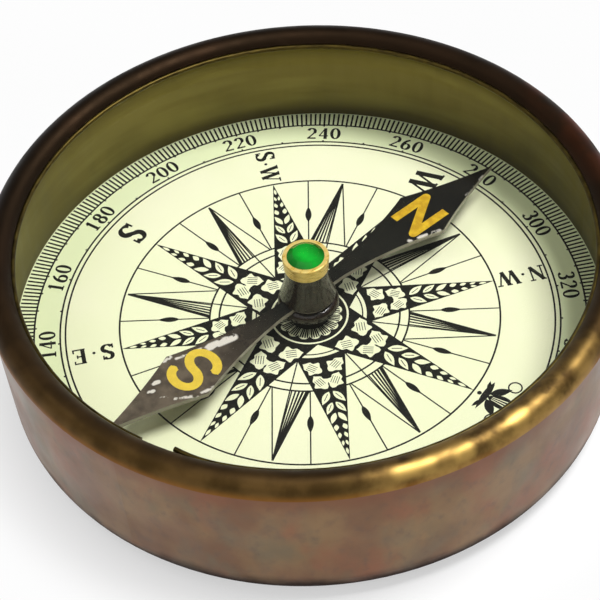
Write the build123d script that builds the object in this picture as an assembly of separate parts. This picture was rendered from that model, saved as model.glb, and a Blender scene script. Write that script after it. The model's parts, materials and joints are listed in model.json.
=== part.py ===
from build123d import *

import os
from math import radians, sqrt, tan

# Pocket compass in millimetres. +Z is up, +Y points to the dial's north, and the origin is the
# centre of the base. Bearings are in degrees, clockwise from north as seen from above.

# Case and bezel
case_diameter = 76.0  # over the bead of the bezel
bead_width = 3.8  # half-round bead, seen from above
bead_overhang = 0.2  # bead proud of the wall below it
wall_draft = 1.1  # how much the wall's radius narrows from its top to its foot
wall_thickness = 0.45  # at the foot, before the round is taken off
floor_thickness = 1.2
base_round = 3.8  # outside, between the wall and the base
spigot_depth = 1.0  # ring under the bezel that sits in the wall's top
spigot_thickness = 0.75

# Stack inside the case
dial_height = 7.0  # printed face above the base
card_thickness = 0.3
plate_thickness = 1.0
seat_ring_thickness = 1.3
chamber_height = 11.7  # printed face to the underside of the glass
sleeve_thickness = 0.4
sleeve_seam = 0.3  # open joint of the rolled sleeve
sleeve_seam_bearing = 53.0
glass_thickness = 1.0
glass_rise = 0.2  # top of the glass above the wall's top

# Split wire that holds the glass, with one end turned inwards
wire_diameter = 0.6
wire_opening = 16.0  # degrees between the two ends of the round part
wire_tail_bearing = 71.9  # where the inturned tail starts
wire_tail_radius = 16.0
wire_tail_turn = 20.0  # degrees of the tail's own arc

# Pivot
shank_diameter = 3.0
flange_diameter = 4.8
flange_thickness = 0.8
post_diameter = 2.2
post_height = 2.0  # above the dial
pin_diameter = 0.9
pin_seat_depth = 3.0
point_length = 2.2  # ground cone
point_flat = 0.08  # diameter left at the very point
washer_diameter = 7.0
washer_thickness = 0.4
nut_width = 5.5
nut_thickness = 1.6
shank_tail = 0.3  # shank below the nut

# Needle blade
needle_bearing = 285.0  # north end at rest
tip_gap = 4.8  # needle's tip to the sleeve
needle_width = 7.7  # across the shoulders
shoulder_to_tip = 12.1
tip_hollow = 0.25  # how far the edges from the shoulders to the tip bow in
waist_width = 1.9
waist_reach = 5.0  # end of the straight waist, from the pivot
waist_hollow = 0.45  # how far the edges from the waist to the shoulders bow in
boss_diameter = 6.0
blade_thickness = 0.6
blade_height = 3.8  # middle of the blade above the dial

# Cap of the needle, with its bearing and stone
bell_diameter = 7.4
bell_depth = 1.4  # below the blade
bell_wall = 1.0
bell_foot_round = 0.4
bell_shoulder_round = 0.8
jewel_diameter = 2.7
jewel_depth = 0.85  # point of the pivot to the jewel's lower face
jewel_cup_angle = 80.0
neck_wall = 0.7
roof_thickness = 0.5
bush_length = 0.8
bush_bore = 2.0
bush_lip_drop = 0.4
collar_foot_wall = 1.3
collar_top_wall = 0.45
setting_wall = 0.56
setting_floor = 0.35
setting_skirt = 1.0  # reach of the setting down over the neck
setting_edge_round = 0.15
stone_diameter = 4.5
stone_seat_depth = 0.5
stone_crown = 0.5
stone_crown_slope = 52.0  # degrees of the crown's facets from upright
stone_facets = 12
stone_clearance = 0.8  # top of the stone to the glass

# Clearances, radial except for the point's
press_gap = 0.01
slip_gap = 0.05
hole_gap = 0.1
glass_gap = 0.15
wire_gap = 0.12
seat_ring_gap = 0.2
jewel_gap = 0.05
point_gap = 0.03

# Radii of the case
outer_radius = case_diameter / 2
bead_radius = bead_width / 2
bead_centre = outer_radius - bead_radius
wall_top_radius = outer_radius - bead_overhang
wall_foot_radius = wall_top_radius - wall_draft
bore_radius = wall_foot_radius - wall_thickness
inner_round = base_round - wall_thickness
spigot_radius = bore_radius + spigot_thickness
disc_radius = bore_radius - hole_gap
sleeve_radius = bore_radius - slip_gap
sleeve_inner_radius = sleeve_radius - sleeve_thickness

# Heights of the case
glass_bottom = dial_height + chamber_height
glass_top = glass_bottom + glass_thickness
wall_top = glass_top - glass_rise
plate_bottom = dial_height - card_thickness - plate_thickness
nut_top = plate_bottom - washer_thickness
shank_bottom = nut_top - nut_thickness - shank_tail
post_top = dial_height + post_height

# Wire in the corner between the glass and the foot of the bead
wire_radius = wire_diameter / 2
wire_height = glass_top + wire_radius
wire_centre = bead_centre - sqrt(bead_radius**2 - (wire_height - wall_top) ** 2)

# Needle, stacked down from the glass to the pivot's point
jewel_radius = jewel_diameter / 2
socket_radius = jewel_radius + jewel_gap
neck_radius = socket_radius + neck_wall
stone_radius = stone_diameter / 2
setting_top = glass_bottom - stone_clearance - stone_crown
stone_seat = setting_top - stone_seat_depth
neck_top = stone_seat - setting_floor
point_height = neck_top - roof_thickness - socket_radius
blade_bottom = dial_height + blade_height - blade_thickness / 2
blade_top = blade_bottom + blade_thickness
bell_bottom = blade_bottom - bell_depth
collar_top = neck_top - setting_skirt
needle_reach = sleeve_inner_radius - tip_gap


def span(r_low, r_high, z_low, z_high):
    """Rectangle in the turning profile, from radius to radius and height to height."""
    centre = Pos((r_low + r_high) / 2, (z_low + z_high) / 2)
    return centre * Rectangle(r_high - r_low, z_high - z_low)


def disc(radius, height):
    """Circle in the turning profile, centred on the axis."""
    return Pos(0, height) * Circle(radius)


def outline(*corners):
    """Closed profile through (radius, height) corners."""
    return make_face(Polyline(*corners, close=True))


def rounded(profile, corner, radius):
    """Profile with the corner nearest to a (radius, height) point rounded."""
    return fillet(profile.vertices().sort_by_distance((*corner, 0))[0], radius)


def turned(profile):
    """Solid of revolution of a (radius, height) profile about the compass's axis."""
    return revolve(Plane.XZ * profile, Axis.Z)


def tube(r_inner, r_outer, z_low, z_high):
    return turned(span(r_inner, r_outer, z_low, z_high))


def at_bearing(shape, bearing):
    return Rot(Z=-bearing) * shape


def case_cup():
    rebate_radius = spigot_radius + press_gap
    rebate_floor = wall_top - spigot_depth
    profile = outline(
        (0, 0),
        (wall_foot_radius, 0),
        (wall_top_radius, wall_top),
        (rebate_radius, wall_top),
        (rebate_radius, rebate_floor),
        (bore_radius, rebate_floor),
        (bore_radius, floor_thickness),
        (0, floor_thickness),
    )
    profile = rounded(profile, (wall_foot_radius, 0), base_round)
    profile = rounded(profile, (bore_radius, floor_thickness), inner_round)
    return turned(profile)


def bezel_ring():
    bead = Pos(bead_centre, wall_top) * Circle(bead_radius)
    bead &= span(0, outer_radius, wall_top, wall_top + bead_radius)
    glass_rebate = span(0, bore_radius, wall_top, glass_top)
    wire_groove = Pos(wire_centre, wire_height) * Circle(wire_radius + wire_gap)
    spigot = span(bore_radius, spigot_radius, wall_top - spigot_depth, wall_top)
    return turned(bead - glass_rebate - wire_groove + spigot)


def glass_window():
    return tube(0, bore_radius - glass_gap, glass_bottom, glass_top)


def glass_wire():
    section = Pos(wire_centre, wire_height) * Circle(wire_radius)
    start = Plane.XZ * section
    tail_axis = Axis((wire_centre - wire_tail_radius, 0, 0), (0, 0, -1))
    round_part = revolve(start, Axis.Z, 360 - wire_opening)
    tail = revolve(start, tail_axis, wire_tail_turn)
    # The profile stands at the bearing of +X
    return at_bearing(round_part + tail, wire_tail_bearing - 90)


def inner_sleeve():
    sleeve = tube(sleeve_inner_radius, sleeve_radius, dial_height, glass_bottom)
    seam = Pos(0, sleeve_radius, dial_height + chamber_height / 2)
    seam *= Box(sleeve_seam, sleeve_radius, chamber_height)
    return sleeve - at_bearing(seam, sleeve_seam_bearing)


def dial_card():
    return tube(shank_diameter / 2 + hole_gap, disc_radius, dial_height - card_thickness, dial_height)


def dial_plate():
    return tube(shank_diameter / 2 + hole_gap, disc_radius, plate_bottom, dial_height - card_thickness)


def dial_seat_ring():
    radius = bore_radius - inner_round - seat_ring_gap
    return tube(radius - seat_ring_thickness, radius, floor_thickness, plate_bottom)


def pivot_post():
    pin_hole = span(0, pin_diameter / 2 + press_gap, post_top - pin_seat_depth, post_top)
    flange_top = dial_height + flange_thickness
    post = (
        span(0, shank_diameter / 2, shank_bottom, dial_height)
        + span(0, flange_diameter / 2, dial_height, flange_top)
        + span(0, post_diameter / 2, flange_top, post_top)
    )
    return turned(post - pin_hole)


def pivot_pin():
    tip = point_height - point_gap
    return turned(
        outline(
            (0, post_top - pin_seat_depth),
            (pin_diameter / 2, post_top - pin_seat_depth),
            (pin_diameter / 2, tip - point_length),
            (point_flat / 2, tip),
            (0, tip),
        )
    )


def pivot_washer():
    return tube(shank_diameter / 2 + hole_gap, washer_diameter / 2, nut_top, plate_bottom)


def pivot_nut():
    hexagon = RegularPolygon(nut_width / 2, 6, major_radius=False)
    nut = extrude(hexagon - Circle(shank_diameter / 2 + slip_gap), nut_thickness)
    return Pos(0, 0, nut_top - nut_thickness) * nut


def bearing_jewel():
    face = point_height - jewel_depth
    cup_radius = jewel_depth * tan(radians(jewel_cup_angle / 2))
    ball = disc(jewel_radius, point_height)
    ball &= span(0, jewel_radius, face, point_height + jewel_radius)
    cup = outline((0, face), (cup_radius, face), (0, point_height))
    return turned(ball - cup)


def jewel_bush():
    bore = bush_bore / 2
    seat_foot = point_height - sqrt(socket_radius**2 - bore**2)
    ring = span(bore, socket_radius - press_gap, seat_foot - bush_length, point_height - bush_lip_drop)
    return turned(ring - disc(socket_radius, point_height))


def needle_cap():
    bell_radius = bell_diameter / 2
    profile = outline(
        (0, bell_bottom),
        (bell_radius, bell_bottom),
        (bell_radius, blade_bottom),
        (neck_radius, blade_bottom),
        (neck_radius, neck_top),
        (0, neck_top),
    )
    profile = rounded(profile, (bell_radius, bell_bottom), bell_foot_round)
    profile = rounded(profile, (bell_radius, blade_bottom), bell_shoulder_round)
    hollow = span(0, bell_radius - bell_wall, bell_bottom, blade_bottom - bell_wall)
    bore = span(0, socket_radius, bell_bottom, point_height)
    return turned(profile - hollow - bore - disc(socket_radius, point_height))


def cap_collar():
    bore = neck_radius + press_gap
    foot = (bore + collar_foot_wall, blade_top)
    top = (bore + collar_top_wall, collar_top)
    flare = TangentArc(top, foot, tangent=(0, -1))
    rest = Polyline(foot, (bore, blade_top), (bore, collar_top), top)
    return turned(make_face([flare, *rest.edges()]))


def stone_setting():
    bore = neck_radius + press_gap
    seat_radius = stone_radius + press_gap
    rim = (seat_radius + setting_wall, setting_top)
    profile = outline(
        (0, neck_top),
        (bore, neck_top),
        (bore, collar_top),
        (bore + setting_wall, collar_top),
        rim,
        (seat_radius, setting_top),
        (seat_radius, stone_seat),
        (0, stone_seat),
    )
    return turned(rounded(profile, rim, setting_edge_round))


def green_stone():
    girdle = Cylinder(stone_radius, stone_seat_depth, align=(Align.CENTER, Align.CENTER, Align.MIN))
    crown = extrude(RegularPolygon(stone_radius, stone_facets), stone_crown, taper=stone_crown_slope)
    return Pos(0, 0, stone_seat) * girdle + Pos(0, 0, setting_top) * crown


def needle_blade():
    shoulder = needle_reach - shoulder_to_tip
    half_width = needle_width / 2
    half_waist = waist_width / 2
    waist = Line((half_waist, 0), (half_waist, waist_reach))
    inner_edge = SagittaArc(waist @ 1, (half_width, shoulder), waist_hollow)
    outer_edge = SagittaArc(inner_edge @ 1, (0, needle_reach), tip_hollow)
    edges = Curve() + [waist, inner_edge, outer_edge, Line(waist @ 0, (0, 0)), Line((0, 0), outer_edge @ 1)]
    half_arm = make_face(edges)
    arm = half_arm + mirror(half_arm, Plane.YZ)
    plan = arm + Rot(Z=180) * arm + Circle(boss_diameter / 2)
    blade = extrude(plan - Circle(neck_radius + press_gap), blade_thickness)
    return at_bearing(Pos(0, 0, blade_bottom) * blade, needle_bearing)


pieces = [
    case_cup,
    bezel_ring,
    glass_window,
    glass_wire,
    inner_sleeve,
    dial_card,
    dial_plate,
    dial_seat_ring,
    pivot_post,
    pivot_pin,
    pivot_washer,
    pivot_nut,
    bearing_jewel,
    jewel_bush,
    needle_cap,
    cap_collar,
    stone_setting,
    green_stone,
    needle_blade,
]

os.makedirs("parts", exist_ok=True)
for piece in pieces:
    export_step(piece(), f"parts/{piece.__name__}.step")
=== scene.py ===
import json
from math import cos, pi, radians, sin

import bpy
from mathutils import Matrix, Vector
from mathutils.geometry import delaunay_2d_cdt


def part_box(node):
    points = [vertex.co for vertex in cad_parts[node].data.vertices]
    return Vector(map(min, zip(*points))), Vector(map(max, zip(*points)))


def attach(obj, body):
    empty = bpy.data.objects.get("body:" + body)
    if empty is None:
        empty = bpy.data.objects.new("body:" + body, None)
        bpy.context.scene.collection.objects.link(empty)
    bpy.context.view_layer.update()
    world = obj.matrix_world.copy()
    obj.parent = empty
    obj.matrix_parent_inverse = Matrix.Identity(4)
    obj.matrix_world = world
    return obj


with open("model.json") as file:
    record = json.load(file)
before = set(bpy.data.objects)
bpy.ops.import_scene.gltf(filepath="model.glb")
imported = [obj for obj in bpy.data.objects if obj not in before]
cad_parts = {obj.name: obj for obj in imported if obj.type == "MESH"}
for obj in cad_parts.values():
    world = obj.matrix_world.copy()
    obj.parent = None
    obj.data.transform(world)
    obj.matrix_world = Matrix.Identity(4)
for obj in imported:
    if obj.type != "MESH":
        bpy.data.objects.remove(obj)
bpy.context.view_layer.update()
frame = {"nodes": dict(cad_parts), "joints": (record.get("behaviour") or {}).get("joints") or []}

# Pocket compass in metres, in the frame of its solids: +Z up, +Y to the dial's north, base at zero.
# Bearings are in degrees, clockwise from north as seen from above.

MM = 0.001

# Places taken from the solids
dial_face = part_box("dial_card")[1].z
glass_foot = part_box("glass_window")[0].z
wall_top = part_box("case_cup")[1].z
case_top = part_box("bezel_ring")[1].z
blade_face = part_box("needle_blade")[1].z
case_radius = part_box("bezel_ring")[1].x
needle_dip = next(joint for joint in frame["joints"] if joint["name"] == "needle_dip")
needle_north = Vector((needle_dip["axis"][1], -needle_dip["axis"][0], 0))
needle_right = Vector((needle_north.y, -needle_north.x, 0))

# Camera
camera_azimuth = 126.505
camera_elevation = 47.541
camera_distance = 275.03 * MM
camera_roll = -4.079
camera_target = Vector((-1.426 * MM, -2.320 * MM, dial_face))
sensor_width = 36.0
picture_width = 600
focal_pixels = 2249.8

# Print on the dial. Its lengths are shares of the radius of the rose.
rose_radius = 23.12 * MM
ink_height = 0.02 * MM
fine_line = 0.007
line = 0.0095
bold_line = 0.012
scale_inner = 1.45
scale_outer = 1.543
tick_width = 0.0105
nub_length = 0.012
number_ring = 1.38
number_height = 0.086
number_step = 20
double_ring = (1.313, 1.285)
cardinal_ring = 1.157
cardinal_height = 0.155
intercardinal_ring = 1.148
intercardinal_height = 0.104
ray_slope = 0.18
half_wind_tip = 0.985
half_wind_spread = 10.5
inner_rings = (0.525, 0.475)
base_rings = (0.305, 0.28)
valley = 0.328
rosette_ring = 0.207
rosette_disc = 0.196
rosette_petals = 16
petal_root = 0.07
petal_ring = 0.146
petal_radius = 0.029
petal_widths = (0.026, 0.056)
petal_hatch_end = 0.163
petal_hatches = (-7, -2.5, 2.5, 7)
quarter_wind_diamond = (0.685, 0.115, 0.034)

# Painted letters of the needle, in millimetres towards north and to the right from its middle
paint_height = 0.04 * MM
paint_width = 1.12
letter_n_place = (18.5, 0.02)
letter_s_place = (-17.8, 0.0)

# Rubbed bare places of the needle, painted near-white so that they also carry painted highlights: start,
# end, width in millimetres and how bare they are
needle_rubs_and_glints = (
    ((-14.3, -1.5), (-11.2, -0.7), 0.9, 1.0),
    ((-18.2, -2.8), (-14.8, -1.9), 0.4, 0.6),
    ((-19.6, -3.3), (-18.6, -3.5), 0.5, 0.8),
    ((-22.6, -1.7), (-22.0, -1.5), 0.5, 1.0),
    ((-23.2, 0.7), (-22.8, 0.9), 0.5, 1.0),
    ((-23.8, -1.0), (-23.3, -0.8), 0.45, 0.9),
    ((-22.2, 1.8), (-20.2, 3.2), 0.45, 0.6),
    ((-20.2, 3.2), (-17.8, 3.6), 0.45, 0.6),
    ((14.6, 2.3), (18.4, 3.6), 0.55, 0.6),
    ((25.0, 1.5), (29.0, 0.5), 0.4, 0.35),
)

# Bearings of the bezel's front that is painted lighter, of its painted copper highlight, and of its gold
# wear that also carries painted highlights
bezel_lit_front = 50
bezel_copper_highlight = 303
bezel_wear_and_sheen = 20

# Painted glints of the bezel: bearing, radius and half length in millimetres
painted_glints = ((29.2, 37.6, 0.5), (17.5, 36.8, 0.4), (38.0, 37.2, 1.6))

# Studio. A lamp has its azimuth from the camera's, elevation, size and watts.
lamp_distance = 0.9
lamps = {
    "key": (100, 67.5, (0.36, 0.36), 8.3),
    "fill": (-100, 60, (0.4, 0.4), 1.0),
    "front": (-20, 48, (1.0, 0.5), 1.3),
}
horizon_light = 1.0
ceiling_light = 0.12
floor_half = 1.5

# Radii between which the floor's shadow fades out, and the floor's own white inside them
shadow_fade = (33 * MM, 49 * MM)
shadow_glow = 0.5

# Drawing of flat shapes: each layer is an outline and whether it is inked or bare
INK, BARE = True, False
CIRCLE_STEPS = 180
BOW_STEP = 12
CDT_INSIDE = 1
CDT_TOLERANCE = 1e-6
LEAF_SKEW = 0.85
LEAF_WAVE = 0.22


def polar(bearing, radius):
    angle = radians(bearing)
    return Vector((radius * sin(angle), radius * cos(angle)))


def circle(radius, centre=(0, 0), steps=CIRCLE_STEPS):
    return [Vector(centre) + polar(360 * i / steps, radius) for i in range(steps)]


def bar(start, end, width, end_width=None):
    """Straight stroke, which may narrow or widen towards its end."""
    start, end = Vector(start), Vector(end)
    along = (end - start).normalized()
    side = Vector((-along.y, along.x)) / 2
    end_width = width if end_width is None else end_width
    return [start - side * width, end - side * end_width, end + side * end_width, start + side * width]


def radial(bearing, inner, outer, width):
    return bar(polar(bearing, inner), polar(bearing, outer), width)


def ring(radius, width):
    """Thin ring. It bares what was drawn inside it, so rings go from the outside in."""
    return [(circle(radius + width / 2), INK), (circle(radius - width / 2), BARE)]


def leaf(base, bearing, length, width, lobes=0, steps=12):
    """Pointed leaf from its base along a bearing, with a wavy edge if it has lobes."""
    base, along, side = Vector(base), polar(bearing, 1), polar(bearing + 90, 1)
    right, left = [], []
    for i in range(1, steps):
        share = i / steps
        half = width / 2 * sin(pi * share**LEAF_SKEW)
        half *= 1 + LEAF_WAVE * cos(2 * pi * lobes * share) if lobes else 1
        right.append(base + along * length * share + side * half)
        left.append(base + along * length * share - side * half)
    return [base, *right, base + along * length, *reversed(left)]


def turned(layers, bearing):
    spin = Matrix.Rotation(-radians(bearing), 2)
    return [([spin @ Vector(corner) for corner in outline], ink) for outline, ink in layers]


def signed_area(outline):
    return sum(a.x * b.y - a.y * b.x for a, b in zip(outline, outline[1:] + outline[:1])) / 2


def printed_piece(name, layers, place, height, material, body):
    """Thin closed piece of the inked parts of a drawing, where each layer covers those before it."""
    corners, outlines = [], []
    for outline, _ in layers:
        ordered = outline if signed_area(outline) > 0 else outline[::-1]
        outlines.append(list(range(len(corners), len(corners) + len(ordered))))
        corners.extend(ordered)
    parts = delaunay_2d_cdt(corners, [], outlines, CDT_INSIDE, CDT_TOLERANCE)
    flat, triangles, origins = parts[0], parts[2], parts[5]
    inked = [tuple(t) for t, covers in zip(triangles, origins) if covers and layers[max(covers)][1]]
    sides = {(a, b) for t in inked for a, b in zip(t, t[1:] + t[:1])}
    rim = [(a, b) for a, b in sides if (b, a) not in sides]
    used = sorted({corner for t in inked for corner in t})
    new = {corner: i for i, corner in enumerate(used)}
    count = len(used)
    low = [place @ Vector((*flat[corner], 0)) for corner in used]
    high = [point + Vector((0, 0, height)) for point in low]
    faces = [[new[corner] + count for corner in t] for t in inked]
    faces += [[new[corner] for corner in reversed(t)] for t in inked]
    faces += [[new[a], new[b], new[b] + count, new[a] + count] for a, b in sorted(rim)]
    mesh = bpy.data.meshes.new(name)
    mesh.from_pydata(low + high, [], faces)
    mesh.materials.append(material)
    piece = bpy.data.objects.new(name, mesh)
    bpy.context.scene.collection.objects.link(piece)
    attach(piece, body)
    return piece


# Serif letters and figures, one unit high and centred across
THICK, THIN = 0.21, 0.08


def bow(centre, radii, start, end, thick=THICK, thin=THIN):
    """Arc of an oval, thick at its sides and thin above and below, with angles from the right."""
    steps = max(2, round(abs(end - start) / BOW_STEP))
    outer, inner = [], []
    for i in range(steps + 1):
        angle = radians(start + (end - start) * i / steps)
        half = (thin + (thick - thin) * abs(cos(angle))) / 2
        for edge, offset in ((outer, half), (inner, -half)):
            point = ((radii[0] + offset) * cos(angle), (radii[1] + offset) * sin(angle))
            edge.append(Vector(point) + Vector(centre))
    return outer + inner[::-1]


def oval(centre, radii):
    return [bow(centre, radii, -90, 90), bow(centre, radii, 90, 270)]


def stem(across, low=0, high=1, width=THICK):
    return bar((across, low), (across, high), width)


def slab(left, right, height, width=THIN):
    return bar((left, height), (right, height), width)


TOP, FOOT = 1 - THIN / 2, THIN / 2
glyphs = {
    "0": [*oval((0, 0.5), (0.24, 0.47))],
    "1": [stem(0), bar((-0.18, 0.80), (0, 0.96), THIN), slab(-0.2, 0.2, FOOT)],
    "2": [
        bow((0, 0.72), (0.22, 0.25), 165, -42),
        bar((0.18, 0.58), (-0.22, 0.06), 0.10),
        slab(-0.28, 0.28, 0.06, 0.12),
    ],
    "3": [bow((0, 0.74), (0.20, 0.23), 155, -95), bow((0, 0.27), (0.24, 0.24), 95, -155)],
    "4": [bar((0.10, 0.97), (-0.27, 0.30), THIN), slab(-0.3, 0.3, 0.28, 0.08), stem(0.12)],
    "6": [*oval((0, 0.29), (0.23, 0.26)), bow((0.29, 0.3), (0.52, 0.66), 180, 108)],
    "8": [*oval((0, 0.74), (0.18, 0.22)), *oval((0, 0.27), (0.23, 0.24))],
    "N": [
        stem(-0.27, width=0.08),
        stem(0.27, width=0.08),
        bar((-0.29, 0.98), (0.27, 0.04), THICK),
        slab(-0.42, -0.14, TOP),
        slab(0.14, 0.42, TOP),
        slab(-0.42, -0.14, FOOT),
    ],
    "E": [
        stem(-0.17),
        slab(-0.3, 0.28, TOP),
        slab(-0.3, 0.31, FOOT),
        slab(-0.12, 0.13, 0.5),
        stem(0.27, 0.78, 1, THIN),
        stem(0.30, 0, 0.25, THIN),
        stem(0.12, 0.39, 0.61, THIN),
    ],
    "S": [
        bow((0, 0.74), (0.21, 0.23), 25, 250),
        bow((0, 0.27), (0.24, 0.24), 70, -155),
        bar((-0.16, 0.63), (0.17, 0.37), 0.18),
        stem(0.24, 0.72, 1, THIN),
        stem(-0.27, 0, 0.28, THIN),
    ],
    "W": [
        bar((-0.48, 0.98), (-0.24, 0.02), THICK),
        bar((-0.24, 0.02), (0.02, 0.98), THIN),
        bar((0.0, 0.98), (0.24, 0.02), THICK),
        bar((0.24, 0.02), (0.48, 0.98), THIN),
        slab(-0.62, -0.34, TOP),
        slab(-0.14, 0.14, TOP),
        slab(0.34, 0.62, TOP),
    ],
    ".": [circle(0.08, (0, 0.42), 16)],
}
advances = {"N": 0.9, "E": 0.78, "S": 0.72, "W": 1.12, ".": 0.42}
FIGURE_ADVANCE = 0.78


def lettering(text, middle, heading, height, spacing=0.0):
    """Inked text centred on a point and read along a bearing."""
    along, up = polar(heading, height), polar(heading - 90, height)
    widths = [advances.get(sign, FIGURE_ADVANCE) for sign in text]
    across = -(sum(widths) + spacing * (len(text) - 1)) / 2
    layers = []
    for sign, width in zip(text, widths):
        centre = across + width / 2
        for outline in glyphs[sign]:
            corners = [Vector(middle) + along * (centre + p[0]) + up * (p[1] - 0.5) for p in outline]
            layers.append((corners, INK))
        across += width + spacing
    return layers


def degree_scale():
    """One-degree divisions at the edge, and the double ring with a mark every ten degrees."""
    layers = ring(scale_inner, line)
    for radius in double_ring:
        layers += ring(radius, line)
    for degree in range(360):
        layers.append((radial(degree, scale_inner, scale_outer, tick_width), INK))
        if degree % 5 == 0:
            layers.append((radial(degree, scale_inner - nub_length, scale_inner, line), INK))
        if degree % 10 == 0:
            layers.append((radial(degree, double_ring[0], double_ring[0] + nub_length, line), INK))
    return layers


def degree_numbers():
    layers = []
    for degree in range(0, 360, number_step):
        layers += lettering(str(degree), polar(degree, number_ring), degree + 90, number_height)
    return layers


def wind_names():
    """Upright letters of the main winds, and those between them along the radius."""
    layers = []
    for name, bearing in (("E", 90), ("S", 180), ("W", 270)):
        layers += lettering(name, polar(bearing, cardinal_ring), 90, cardinal_height)
    for name, bearing, heading, spacing in (
        ("N.E", 45, 45, 0.12),
        ("S.E", 135, 135, 0.12),
        ("S.W", 225, 45, 0.04),
        ("N.W", 315, 135, 0.04),
    ):
        middle = polar(bearing, intercardinal_ring)
        layers += lettering(name, middle, heading, intercardinal_height, spacing)
    return layers


def north_mark():
    """Fleur-de-lis over the north ray: curls, side leaves, a veined middle leaf, its band and a dot."""
    layers = []
    for side in (-1, 1):
        curl = (side * 0.122, 1.172)
        layers += [(circle(0.038, curl, 36), INK), (circle(0.030, curl, 36), BARE)]
    for side in (-1, 1):
        layers.append((leaf((side * 0.018, 1.083), side * 44, 0.118, 0.046), INK))
        layers.append((leaf((side * 0.03, 1.066), side * 110, 0.07, 0.022), INK))
    layers.append((leaf((0, 1.08), 0, 0.185, 0.082), INK))
    for across in (-0.018, 0, 0.018):
        layers.append((bar((across * 0.5, 1.105), (across, 1.205), 0.004, 0.008), BARE))
    layers.append((leaf((-0.10, 1.066), 90, 0.20, 0.038), INK))
    layers.append((circle(0.012, (0, 1.033), 16), INK))
    return layers


# Leaves of a ray: height and offset of the base, length, width, lean
small_leaves = (
    (0.905, 0.000, 0.050, 0.016, 0),
    (0.850, 0.009, 0.040, 0.016, 8),
    (0.790, 0.015, 0.044, 0.022, 10),
    (0.728, 0.021, 0.048, 0.029, 12),
    (0.640, 0.008, 0.086, 0.034, 26),
    (0.560, 0.010, 0.096, 0.038, 29),
    (0.476, 0.012, 0.108, 0.044, 32),
)
large_leaves = (
    (0.452, 0.014, 0.128, 0.088, 151),
    (0.322, 0.020, 0.132, 0.092, 131),
)
veined_width = 0.035
vein_line = 0.004
hatch_line = 0.0035
hatch_shares = (-0.5, -0.2, 0.1, 0.4)


def ray():
    """Black ray to the north with pale foliage on it."""
    foot = 0.1
    half = ray_slope * (1 - foot)
    layers = [([Vector((0, 1)), Vector((-half, foot)), Vector((half, foot))], INK)]
    for side in (-1, 1):
        for height, offset, length, width, lean in small_leaves:
            layers.append((leaf((side * offset, height), side * lean, length, width), BARE))
            if width > veined_width:
                vein = Vector((side * offset, height)) + polar(side * lean, length * 0.2)
                layers.append((bar(vein, vein + polar(side * lean, length * 0.5), vein_line), INK))
        for height, offset, length, width, lean in large_leaves:
            base = Vector((side * offset, height))
            layers.append((leaf(base, side * lean, length, width, lobes=2.5, steps=20), BARE))
            root = base + polar(side * lean, length * 0.3)
            for share in hatch_shares:
                start = root + polar(side * lean + 90, width * share / 2)
                layers.append((bar(start, start + polar(side * lean, length * 0.42), hatch_line), INK))
    return layers


def shrunk_to_tip(layers, share):
    """Drawing made smaller about the tip of its ray."""
    tip = Vector((0, 1))
    return [([tip + (Vector(p) - tip) * share for p in outline], ink) for outline, ink in layers]


def half_wind():
    """Ray to the north between the main ones, hatched on its left half."""
    tip = Vector((0, half_wind_tip))
    foot = inner_rings[0]
    left, right = polar(-half_wind_spread, foot), polar(half_wind_spread, foot)
    layers = [
        (bar(tip, left, bold_line), INK),
        (bar(tip, right, fine_line), INK),
        (bar(tip, (0, valley), fine_line), INK),
    ]
    hatches = 5
    for i in range(hatches):
        bearing = -half_wind_spread * (i + 0.5) / hatches
        foot_width = fine_line + fine_line * i / hatches
        layers.append((bar(tip, polar(bearing, foot), fine_line, foot_width), INK))
    return layers


def quarter_wind():
    """Thin line to the north with a slim diamond."""
    base, length, width = quarter_wind_diamond
    return [
        (radial(0, inner_rings[0], 1, fine_line), INK),
        (leaf((0, base), 0, length, width), INK),
    ]


def rosette():
    """Black disc with pale hatched petals round the middle."""
    layers = [(circle(rosette_ring), BARE), (circle(rosette_disc), INK)]
    for i in range(rosette_petals):
        bearing = 360 * i / rosette_petals
        head = polar(bearing, petal_ring)
        layers.append((circle(petal_radius, head, 20), BARE))
        layers.append((bar(polar(bearing, petal_root), head, *petal_widths), BARE))
        for spread in petal_hatches:
            layers.append((radial(bearing + spread, petal_root, petal_hatch_end, fine_line), INK))
    return layers


def compass_rose():
    """Rose of 32 winds, drawn from the least winds to the main ones."""
    layers = ring(1.0, line)
    for radius in inner_rings:
        layers += ring(radius, line)
    for i in range(16):
        layers += turned(quarter_wind(), 11.25 + 22.5 * i)
    for i in range(8):
        layers += turned(half_wind(), 22.5 + 45 * i)
    small_ray = ray()[:1] + shrunk_to_tip(ray()[1:], (1 - base_rings[0]) / (1 - rosette_ring))
    for i in range(4):
        layers += turned(small_ray, 45 + 90 * i)
    layers.append((circle(base_rings[0]), BARE))
    for radius in base_rings:
        layers += ring(radius, fine_line)
    for i in range(4):
        layers += turned(ray(), 90 * i)
    return layers + rosette()


def brushed(points, width):
    """Stroke of a flat brush through points, rounded where it turns."""
    layers = [(circle(width / 2, point, 20), INK) for point in points[1:-1]]
    return layers + [(bar(a, b, width), INK) for a, b in zip(points, points[1:])]


def letter_n():
    half_width, half_height = 1.75, 2.75
    corners = ((-1, -1), (-1, 1), (1, -1), (1, 1))
    points = [Vector((x * half_width, y * half_height)) for x, y in corners]
    return brushed(points, paint_width)


def oval_arc(radii, height, angles):
    """Points of an oval at a height on the middle line, with angles from the right."""
    return [Vector((radii[0] * cos(radians(a)), height + radii[1] * sin(radians(a)))) for a in angles]


def letter_s():
    upper = oval_arc((1.85, 1.38), 1.40, range(0, 256, 15))
    lower = oval_arc((1.95, 1.42), -1.40, range(75, -181, -15))
    return brushed(upper + lower, paint_width)


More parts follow.
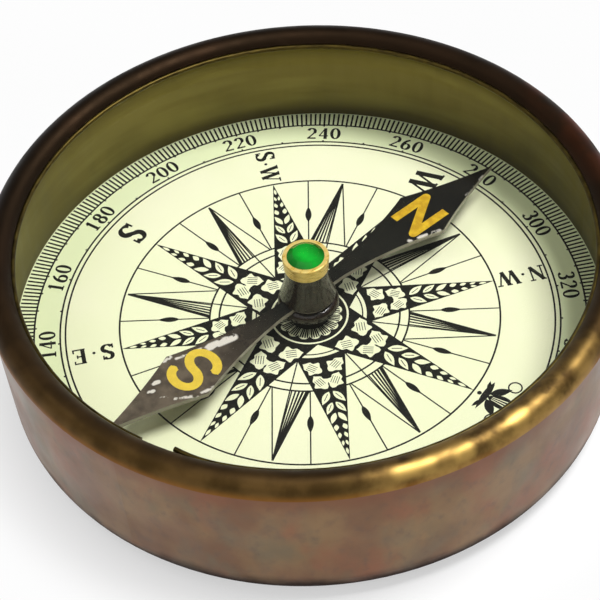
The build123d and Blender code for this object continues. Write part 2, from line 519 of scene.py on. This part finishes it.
# Materials
class Recipe:
    """Node tree of one material, on the coordinates of the solids."""

    def __init__(self, name):
        self.material = bpy.data.materials.new(name)
        self.material.use_nodes = True
        self.tree = self.material.node_tree
        self.tree.nodes.clear()
        self.place = self.node("ShaderNodeTexCoord").outputs["Object"]

    def node(self, kind, inputs=None, **settings):
        node = self.tree.nodes.new(kind)
        for key, value in settings.items():
            setattr(node, key, value)
        for key, value in (inputs or {}).items():
            self.feed(node.inputs[key], value)
        return node

    def feed(self, socket, value):
        if isinstance(value, bpy.types.NodeSocket):
            self.tree.links.new(value, socket)
        else:
            socket.default_value = value

    def axis(self, name):
        return self.node("ShaderNodeSeparateXYZ", {"Vector": self.place}).outputs[name]

    def vector(self, operation, a, b=(0, 0, 0)):
        return self.node("ShaderNodeVectorMath", {0: a, 1: b}, operation=operation).outputs

    def toward(self, direction):
        """Distance from the middle along a level direction."""
        return self.vector("DOT_PRODUCT", self.place, (direction.x, direction.y, 0))["Value"]

    def radius(self):
        """Distance from the upright axis."""
        level = self.vector("MULTIPLY", self.place, (1, 1, 0))["Vector"]
        return self.vector("LENGTH", level)["Value"]

    def smear(self, start, end, width):
        """Soft spot round a line between two points."""
        reach = end - start
        away = self.vector("SUBTRACT", self.place, start)["Vector"]
        along = self.vector("DOT_PRODUCT", away, reach / reach.length_squared)["Value"]
        share = self.math("MULTIPLY", along, 1.0, clamp=True)
        foot = self.vector("MULTIPLY", reach, share)["Vector"]
        gap = self.vector("DISTANCE", away, foot)["Value"]
        return self.between(gap, width, 0.0)

    def noise(self, size, detail=4.0, stretch=(1, 1, 1), shift=0.0):
        """Noise with spots of about a size, drawn out along an axis where its stretch is small."""
        mapping = {"Vector": self.place, "Scale": stretch, "Location": (shift, shift, shift)}
        place = self.node("ShaderNodeMapping", mapping).outputs["Vector"]
        inputs = {"Vector": place, "Scale": 1 / size, "Detail": detail}
        return self.node("ShaderNodeTexNoise", inputs).outputs["Fac"]

    def math(self, operation, a, b=0.0, c=0.0, clamp=False):
        inputs = {0: a, 1: b, 2: c}
        return self.node("ShaderNodeMath", inputs, operation=operation, use_clamp=clamp).outputs[0]

    def between(self, value, low, high, to_low=0.0, to_high=1.0):
        """Smooth step of a value between two limits."""
        inputs = {"Value": value, "From Min": low, "From Max": high, "To Min": to_low, "To Max": to_high}
        step = self.node("ShaderNodeMapRange", inputs, interpolation_type="SMOOTHSTEP")
        return step.outputs["Result"]

    def clouds(self, size, low, high, share=1.0, **noise):
        """Patches of noise between two limits, up to a share."""
        return self.between(self.noise(size, **noise), low, high, 0.0, share)

    def mix(self, share, a, b):
        """Colour a, with a share of colour b over it."""
        node = self.node("ShaderNodeMix", data_type="RGBA")
        sockets = {s.identifier: s for s in node.inputs}
        self.feed(sockets["Factor_Float"], share)
        self.feed(sockets["A_Color"], a)
        self.feed(sockets["B_Color"], b)
        return next(s for s in node.outputs if s.identifier == "Result_Color")

    def bump(self, height, strength, distance):
        inputs = {"Height": height, "Strength": strength, "Distance": distance}
        return self.node("ShaderNodeBump", inputs).outputs["Normal"]

    def principled(self, inputs):
        return self.node("ShaderNodeBsdfPrincipled", inputs).outputs["BSDF"]

    def done(self, shader):
        output = self.node("ShaderNodeOutputMaterial")
        self.tree.links.new(shader, output.inputs["Surface"])
        return self.material


def rgb(code):
    """Linear colour of a web colour code."""
    shares = [int(code[i:i + 2], 16) / 255 for i in (1, 3, 5)]
    return (*[s / 12.92 if s <= 0.04045 else ((s + 0.055) / 1.055) ** 2.4 for s in shares], 1.0)


def case_brass():
    """Antiqued brass of the cup: brown with tan, olive and copper clouds, and a foot painted dark,
    partly dirt and partly painted contact shadow.
    """
    r = Recipe("case_brass")
    height = r.axis("Z")
    upright = {"detail": 6, "stretch": (1, 1, 0.75)}
    colour = r.mix(r.clouds(9 * MM, 0.36, 0.64, **upright), rgb("#704c2e"), rgb("#82643e"))
    for size, low, high, share, shift, tint in (
        (7 * MM, 0.46, 0.68, 0.75, 1.7, "#665a42"),
        (7 * MM, 0.48, 0.70, 0.75, 4.1, "#844c2c"),
        (1.2 * MM, 0.48, 0.80, 0.5, 7.7, "#584436"),
    ):
        colour = r.mix(r.clouds(size, low, high, share, shift=shift, **upright), colour, rgb(tint))
    colour = r.mix(r.between(height, wall_top * 0.8, wall_top, 0.0, 0.7), colour, rgb("#74401e"))
    # Painted shade: the foot is darker, less metallic and duller, a painted contact shadow that is
    # partly dirt.
    uneven = r.math("MULTIPLY_ADD", r.noise(5 * MM, 4, shift=9.0), 2.4 * MM, -1.2 * MM)
    grime_and_shade = r.between(r.math("ADD", height, uneven), 4.5 * MM, 2.2 * MM, 0.0, 0.9)
    colour = r.mix(grime_and_shade, colour, rgb("#140d10"))
    marks = r.noise(4 * MM, 3, stretch=(0.3, 0.3, 14))
    rough = r.between(r.noise(6 * MM, 5, shift=2.3), 0.3, 0.7, 0.36, 0.5)
    return r.done(r.principled({
        "Base Color": colour,
        "Metallic": r.math("MULTIPLY_ADD", grime_and_shade, -0.9, 0.9),
        "Roughness": r.math("ADD", rough, r.math("MULTIPLY", grime_and_shade, 0.4)),
        "Specular IOR Level": r.math("MULTIPLY_ADD", grime_and_shade, -0.48, 0.5),
        "Coat Weight": r.math("MULTIPLY_ADD", grime_and_shade, -0.3, 0.3),
        "Coat Roughness": 0.3,
        "Normal": r.bump(marks, 0.10, 0.05 * MM),
    }))


def bezel_brass():
    """Antiqued brass of the bead, painted nearly black at the back and brown in front as painted shade
    and light, with a painted copper highlight, a painted floor reflection low on the outside, painted
    shade on the inner top, and wear at north with painted glints.
    """
    r = Recipe("bezel_brass")
    # Painted shade and light: the bead is nearly black at the back and a lighter brown on the front,
    # towards the camera's side.
    dark = r.mix(r.clouds(9 * MM, 0.38, 0.66), rgb("#140d08"), rgb("#261810"))
    brown = r.mix(r.clouds(5 * MM, 0.38, 0.66, detail=5, shift=1.1), rgb("#4a371a"), rgb("#674e2a"))
    front = r.between(r.toward(polar(bezel_lit_front, 1)), -0.1 * case_radius, 0.8 * case_radius)
    colour = r.mix(front, dark, brown)
    # Painted highlight: an orange-red copper streak on one side of the bead.
    copper = r.between(r.toward(polar(bezel_copper_highlight, 1)), 0.86 * case_radius, case_radius, 0.0, 0.7)
    copper = r.math("MULTIPLY", copper, r.clouds(5 * MM, 0.35, 0.6, detail=3, shift=5.2))
    colour = r.mix(copper, colour, rgb("#6a2c10"))
    # Painted reflection: the lower outside of the bead is a lighter orange, as if mirroring the floor.
    under = r.between(r.axis("Z"), case_top - 0.9 * MM, case_top - 2.0 * MM, 0.0, 0.85)
    colour = r.mix(under, colour, rgb("#85571f"))
    # Painted shade: the top and inner side of the bead are darker.
    top_shade = r.between(r.radius(), 0.985 * case_radius, 0.955 * case_radius, 0.0, 0.6)
    colour = r.mix(top_shade, colour, rgb("#2b1f12"))
    # Gold wear at north, which also stands in for painted highlights.
    wear_and_sheen = r.between(r.toward(polar(bezel_wear_and_sheen, 1)), 0.80 * case_radius, 0.97 * case_radius, 0.0, 0.8)
    wear_and_sheen = r.math("MULTIPLY", wear_and_sheen, r.clouds(3.5 * MM, 0.30, 0.66, shift=3.3))
    colour = r.mix(wear_and_sheen, colour, rgb("#a8874a"))
    # Painted highlights: small bright gold glints on the bead.
    for bearing, radius, length in painted_glints:
        spot = Vector((*polar(bearing, radius * MM), case_top))
        across = Vector((*polar(bearing + 90, length * MM), 0))
        gold = r.smear(spot - across, spot + across, 1.5 * MM)
        wear_and_sheen = r.math("MAXIMUM", wear_and_sheen, gold)
        colour = r.mix(gold, colour, rgb("#e0b866"))
    rough = r.between(r.noise(3 * MM, 4, shift=6.0), 0.3, 0.7, 0.46, 0.58)
    return r.done(r.principled({
        "Base Color": colour,
        "Metallic": 0.95,
        "Roughness": r.math("MULTIPLY_ADD", wear_and_sheen, -0.06, rough),
        "Normal": r.bump(r.noise(1.5 * MM, 3), 0.08, 0.05 * MM),
    }))


def sleeve_brass():
    """Dull olive brass of the lining, with faint bands and streaks, darker towards the dial, and painted
    shade under the bezel.
    """
    r = Recipe("sleeve_brass")
    streaks = r.noise(2.5 * MM, 4, stretch=(1, 1, 0.15))
    bands = r.noise(2.5 * MM, 3, stretch=(0.12, 0.12, 1), shift=2.0)
    colour = r.mix(r.between(streaks, 0.2, 0.8), rgb("#685c24"), rgb("#786b31"))
    colour = r.mix(r.between(bands, 0.40, 0.65, 0.0, 0.6), colour, rgb("#82763c"))
    height = r.axis("Z")
    foot = r.between(height, dial_face + 2.5 * MM, dial_face, 0.0, 0.6)
    colour = r.mix(foot, colour, rgb("#44390f"))
    # Painted shade: the lining darkens towards the bezel above it.
    head = r.between(height, glass_foot - 2.5 * MM, glass_foot, 0.0, 0.6)
    colour = r.mix(head, colour, rgb("#3f3612"))
    return r.done(r.principled({
        "Base Color": colour,
        "Metallic": 0.8,
        "Roughness": r.between(streaks, 0.3, 0.7, 0.36, 0.5),
        "Normal": r.bump(streaks, 0.06, 0.05 * MM),
    }))


def plain_metal(name, dark, pale, roughness, grain=1.5 * MM, metallic=0.95):
    """Bare or lacquered metal with a fine turned grain."""
    r = Recipe(name)
    turning = r.noise(grain, 4, stretch=(1, 1, 6))
    colour = r.mix(r.between(turning, 0.3, 0.7), rgb(dark), rgb(pale))
    return r.done(r.principled({
        "Base Color": colour,
        "Metallic": metallic,
        "Roughness": r.between(turning, 0.3, 0.7, roughness, roughness + 0.12),
        "Normal": r.bump(turning, 0.06, 0.03 * MM),
    }))


def window_glass():
    """Clear glass with a trace of dust."""
    r = Recipe("window_glass")
    grazing = r.node("ShaderNodeLayerWeight", {"Blend": 0.5}).outputs["Facing"]
    mirror = r.math("MULTIPLY_ADD", r.math("POWER", grazing, 5.0), 0.96, 0.04)
    dust = r.clouds(0.6 * MM, 0.62, 0.8, 0.02, detail=6)
    clear = r.node("ShaderNodeBsdfTransparent").outputs["BSDF"]
    gloss = r.principled({
        "Base Color": rgb("#dfe6da"),
        "Metallic": 1.0,
        "Roughness": 0.02,
    })
    share = r.math("ADD", mirror, dust, clamp=True)
    return r.done(r.node("ShaderNodeMixShader", {0: share, 1: clear, 2: gloss}).outputs[0])


def card_paper():
    """Pale cream-green card, with painted greenish shade and reflection of the olive wall towards the
    edge, with a fibrous grain.
    """
    r = Recipe("dial_paper")
    colour = r.mix(r.clouds(16 * MM, 0.35, 0.65, detail=3), rgb("#fbfcd8"), rgb("#f6fad0"))
    colour = r.mix(r.clouds(0.25 * MM, 0.35, 0.75, 0.5, detail=3), colour, rgb("#eff3c4"))
    # Painted shade and reflection: the card turns greener near the olive wall.
    band = r.between(r.radius(), 1.28 * rose_radius, 1.34 * rose_radius, 0.0, 0.6)
    colour = r.mix(band, colour, rgb("#e6f5bd"))
    return r.done(r.principled({
        "Base Color": colour,
        "Roughness": 0.75,
        "Normal": r.bump(r.noise(0.12 * MM, 4), 0.15, 0.02 * MM),
    }))


def ink_black():
    """Printing ink, a little thin in places."""
    r = Recipe("print_ink")
    colour = r.mix(r.clouds(0.5 * MM, 0.4, 0.8, detail=5), rgb("#0d0c06"), rgb("#25231a"))
    return r.done(r.principled({"Base Color": colour, "Roughness": 0.6, "Specular IOR Level": 0.2}))


def blade_point(along, across):
    """Point on the needle's face, in millimetres towards north and to the right from its middle."""
    return (needle_north * along + needle_right * across) * MM + Vector((0, 0, blade_face))


def needle_black():
    """Black lacquer, paler on the south arm where wear and painted sheen are mixed in, with bare spots
    painted near-white as wear and painted highlights, and bare on the cut sides.
    """
    r = Recipe("needle_black")
    colour = r.mix(r.clouds(2.5 * MM, 0.35, 0.7, detail=5), rgb("#0d0b06"), rgb("#17140e"))
    # Painted reflection: the south arm turns a paler grey-brown, wear mixed with painted sheen.
    wear_and_sheen = r.mix(r.clouds(2 * MM, 0.35, 0.7, detail=5, shift=5.0), rgb("#4d4338"), rgb("#6b5f50"))
    colour = r.mix(r.between(r.toward(needle_north), -4 * MM, -20 * MM), colour, wear_and_sheen)
    rubbed_and_glints = 0.0
    # Rubbed spots painted near-white: wear that also stands in for painted highlights.
    for start, end, width, share in needle_rubs_and_glints:
        rub = r.smear(blade_point(*start), blade_point(*end), width * MM)
        rubbed_and_glints = r.math("MAXIMUM", rubbed_and_glints, r.math("MULTIPLY", rub, share))
    ragged = r.between(r.noise(0.9 * MM, 8, shift=3.0), 0.38, 0.56, 0.1, 1.7)
    rubbed_and_glints = r.between(r.math("MULTIPLY", rubbed_and_glints, ragged), 0.2, 1.0)
    normal = r.node("ShaderNodeNewGeometry").outputs["Normal"]
    upward = r.node("ShaderNodeSeparateXYZ", {"Vector": normal}).outputs["Z"]
    cut = r.between(r.math("ABSOLUTE", upward), 0.8, 0.3)
    colour = r.mix(cut, colour, rgb("#8f887a"))
    colour = r.mix(rubbed_and_glints, colour, rgb("#e2dccf"))
    rough = r.between(r.noise(1.5 * MM, 4, shift=2.0), 0.3, 0.7, 0.14, 0.2)
    return r.done(r.principled({
        "Base Color": colour,
        "Roughness": rough,
        "Specular IOR Level": 0.8,
    }))


def cap_black():
    """Glossy black lacquer."""
    r = Recipe("cap_black")
    colour = r.mix(r.clouds(1.2 * MM, 0.3, 0.7), rgb("#1a110b"), rgb("#2a1e16"))
    return r.done(r.principled({
        "Base Color": colour,
        "Roughness": r.between(r.noise(0.6 * MM, 3), 0.3, 0.7, 0.22, 0.3),
        "Specular IOR Level": 0.3,
        "Coat Weight": 0.4,
        "Coat Roughness": 0.04,
    }))


def stone_green():
    """Emerald green glass over foil, with painted light in front of its middle and painted shade round
    it.
    """
    r = Recipe("stone_green")
    # Painted light and shade: a bright patch in front of the middle, darker round the edge of the stone.
    front = Vector((*polar(40, 0.5 * MM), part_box("green_stone")[1].z))
    half = needle_right * 0.8 * MM
    middle = r.smear(front - half, front + half, 2.5 * MM)
    clouds = r.between(r.noise(1.8 * MM, 2), 0.35, 0.65, 0.75, 1.0)
    colour = r.mix(r.math("MULTIPLY", middle, clouds), rgb("#015a10"), rgb("#06ba30"))
    return r.done(r.principled({
        "Base Color": colour,
        "Roughness": 0.08,
        "Specular IOR Level": 0.3,
    }))


def letter_yellow():
    """Brushed-on yellow enamel, paler on the south arm."""
    r = Recipe("letter_yellow")
    colour = r.mix(r.clouds(0.9 * MM, 0.35, 0.7), rgb("#c79a12"), rgb("#e6be22"))
    paler_south = r.between(r.toward(needle_north), -10 * MM, -16 * MM, 0.0, 0.6)
    colour = r.mix(paler_south, colour, rgb("#f2d850"))
    return r.done(r.principled({
        "Base Color": colour,
        "Roughness": 0.4,
        "Normal": r.bump(r.noise(0.5 * MM, 3), 0.2, 0.05 * MM),
    }))


def jewel_agate():
    """Polished agate."""
    r = Recipe("jewel_stone")
    colour = r.mix(r.clouds(0.5 * MM, 0.3, 0.7, detail=5), rgb("#7a3a2a"), rgb("#b98668"))
    return r.done(r.principled({"Base Color": colour, "Roughness": 0.12}))


brass_turned = plain_metal("pivot_brass", "#a5813a", "#c9a75a", 0.22)
plate_metal = plain_metal("plate_brass", "#96783c", "#b39450", 0.3, 3 * MM)
looks = {
    "case_cup": case_brass(),
    "bezel_ring": bezel_brass(),
    "glass_window": window_glass(),
    "glass_wire": plain_metal("wire_brass", "#3a3016", "#55481f", 0.35),
    "inner_sleeve": sleeve_brass(),
    "dial_card": card_paper(),
    "dial_plate": plate_metal,
    "dial_seat_ring": plate_metal,
    # Painted shade: the post is nearly black, standing for the shade it has under the bell.
    "pivot_post": plain_metal("post_brass", "#1a140c", "#2c2216", 0.35),
    "pivot_pin": plain_metal("pivot_steel", "#8f9092", "#c2c4c6", 0.2, 0.6 * MM),
    "pivot_washer": brass_turned,
    "pivot_nut": brass_turned,
    "bearing_jewel": jewel_agate(),
    "jewel_bush": brass_turned,
    "needle_cap": cap_black(),
    "cap_collar": cap_black(),
    "stone_setting": plain_metal("setting_gold", "#eec45c", "#f6da86", 0.25, 0.8 * MM, 0.3),
    "green_stone": stone_green(),
    "needle_blade": needle_black(),
}
for node, look in looks.items():
    mesh = frame["nodes"][node].data
    mesh.materials.clear()
    mesh.materials.append(look)

# Print of the dial
on_dial = Matrix.Translation((0, 0, dial_face)) @ Matrix.Diagonal((rose_radius, rose_radius, 1, 1))
ink = ink_black()
for name, drawing in (
    ("degree_scale", degree_scale),
    ("degree_numbers", degree_numbers),
    ("wind_names", wind_names),
    ("north_mark", north_mark),
    ("compass_rose", compass_rose),
):
    printed_piece(name, drawing(), on_dial, ink_height, ink, "case")

# Letters of the needle, each with its top towards the tip of its arm
yellow = letter_yellow()
for name, drawing, place, way in (
    ("needle_letter_n", letter_n, letter_n_place, 1),
    ("needle_letter_s", letter_s, letter_s_place, -1),
):
    columns = (needle_right * way * MM, needle_north * way * MM, Vector((0, 0, 1)))
    on_blade = Matrix(columns).transposed().to_4x4()
    on_blade.translation = blade_point(*place)
    printed_piece(name, drawing(), on_blade, paint_height, yellow, "needle")


# Floor, light and camera
def studio_floor():
    """White floor, with a soft shadow round the object."""
    mesh = bpy.data.meshes.new("floor")
    corners = [(x * floor_half, y * floor_half, 0) for x, y in ((-1, -1), (1, -1), (1, 1), (-1, 1))]
    mesh.from_pydata(corners, [], [(0, 1, 2, 3)])
    floor = bpy.data.objects.new("floor", mesh)
    bpy.context.scene.collection.objects.link(floor)
    r = Recipe("floor_white")
    tone = r.mix(r.noise(60 * MM, 2), rgb("#fbfbfb"), rgb("#ffffff"))
    paper = r.principled({"Base Color": tone, "Roughness": 0.7})
    path = r.node("ShaderNodeLightPath").outputs
    seen = r.math("MAXIMUM", path["Is Camera Ray"], path["Is Glossy Ray"])
    seen = r.math("MAXIMUM", seen, path["Is Transmission Ray"])
    glow = r.node("ShaderNodeEmission", {"Color": tone, "Strength": 1.0}).outputs["Emission"]
    share = r.math("MULTIPLY", seen, r.between(r.radius(), *shadow_fade, shadow_glow, 1.0))
    surface = r.node("ShaderNodeMixShader", {0: share, 1: paper, 2: glow}).outputs[0]
    mesh.materials.append(r.done(surface))


def aimed(back, roll=0.0):
    """Rotation whose Z axis is a direction, with X level before the roll."""
    right = Vector((0, 0, 1)).cross(back).normalized()
    up = back.cross(right)
    x_axis = right * cos(roll) + up * sin(roll)
    y_axis = up * cos(roll) - right * sin(roll)
    return Matrix((x_axis, y_axis, back)).transposed().to_4x4()


def outward(azimuth, elevation):
    """Direction from the object towards a viewer."""
    a, e = radians(azimuth), radians(elevation)
    return Vector((sin(a) * cos(e), -cos(a) * cos(e), sin(e)))


def softbox(name, azimuth, elevation, size, watts):
    """Lamp that looks at the middle of the base."""
    data = bpy.data.lights.new(name, "AREA")
    data.shape = "RECTANGLE"
    data.size, data.size_y = size
    data.energy = watts
    lamp = bpy.data.objects.new(name, data)
    back = outward(azimuth, elevation)
    lamp.matrix_world = Matrix.Translation(back * lamp_distance) @ aimed(back)
    bpy.context.scene.collection.objects.link(lamp)


def studio_world():
    """Pale room with a dark ceiling."""
    world = bpy.data.worlds.new("studio")
    world.use_nodes = True
    tree = world.node_tree
    tree.nodes.clear()

    def add(kind, **inputs):
        node = tree.nodes.new(kind)
        for key, value in inputs.items():
            node.inputs[key.replace("_", " ")].default_value = value
        return node

    direction = add("ShaderNodeTexCoord").outputs["Generated"]
    split = add("ShaderNodeSeparateXYZ")
    room = add(
        "ShaderNodeMapRange", From_Min=0.05, From_Max=0.5, To_Min=horizon_light, To_Max=ceiling_light
    )
    room.interpolation_type = "SMOOTHSTEP"
    white = add("ShaderNodeBackground", Color=(1, 1, 1, 1))
    output = add("ShaderNodeOutputWorld")
    tree.links.new(direction, split.inputs["Vector"])
    tree.links.new(split.outputs["Z"], room.inputs["Value"])
    tree.links.new(room.outputs["Result"], white.inputs["Strength"])
    tree.links.new(white.outputs["Background"], output.inputs["Surface"])
    bpy.context.scene.world = world


def studio_camera():
    data = bpy.data.cameras.new("camera")
    data.sensor_width = sensor_width
    data.lens = focal_pixels / picture_width * sensor_width
    data.clip_start = 10 * MM
    camera = bpy.data.objects.new("camera", data)
    back = outward(camera_azimuth, camera_elevation)
    place = Matrix.Translation(camera_target + back * camera_distance)
    camera.matrix_world = place @ aimed(back, radians(camera_roll))
    bpy.context.scene.collection.objects.link(camera)
    bpy.context.scene.camera = camera


studio_floor()
for name, (turn, elevation, size, watts) in lamps.items():
    softbox(name, camera_azimuth + turn, elevation, size, watts)
studio_world()
studio_camera()
bpy.context.scene.view_settings.view_transform = "Standard"
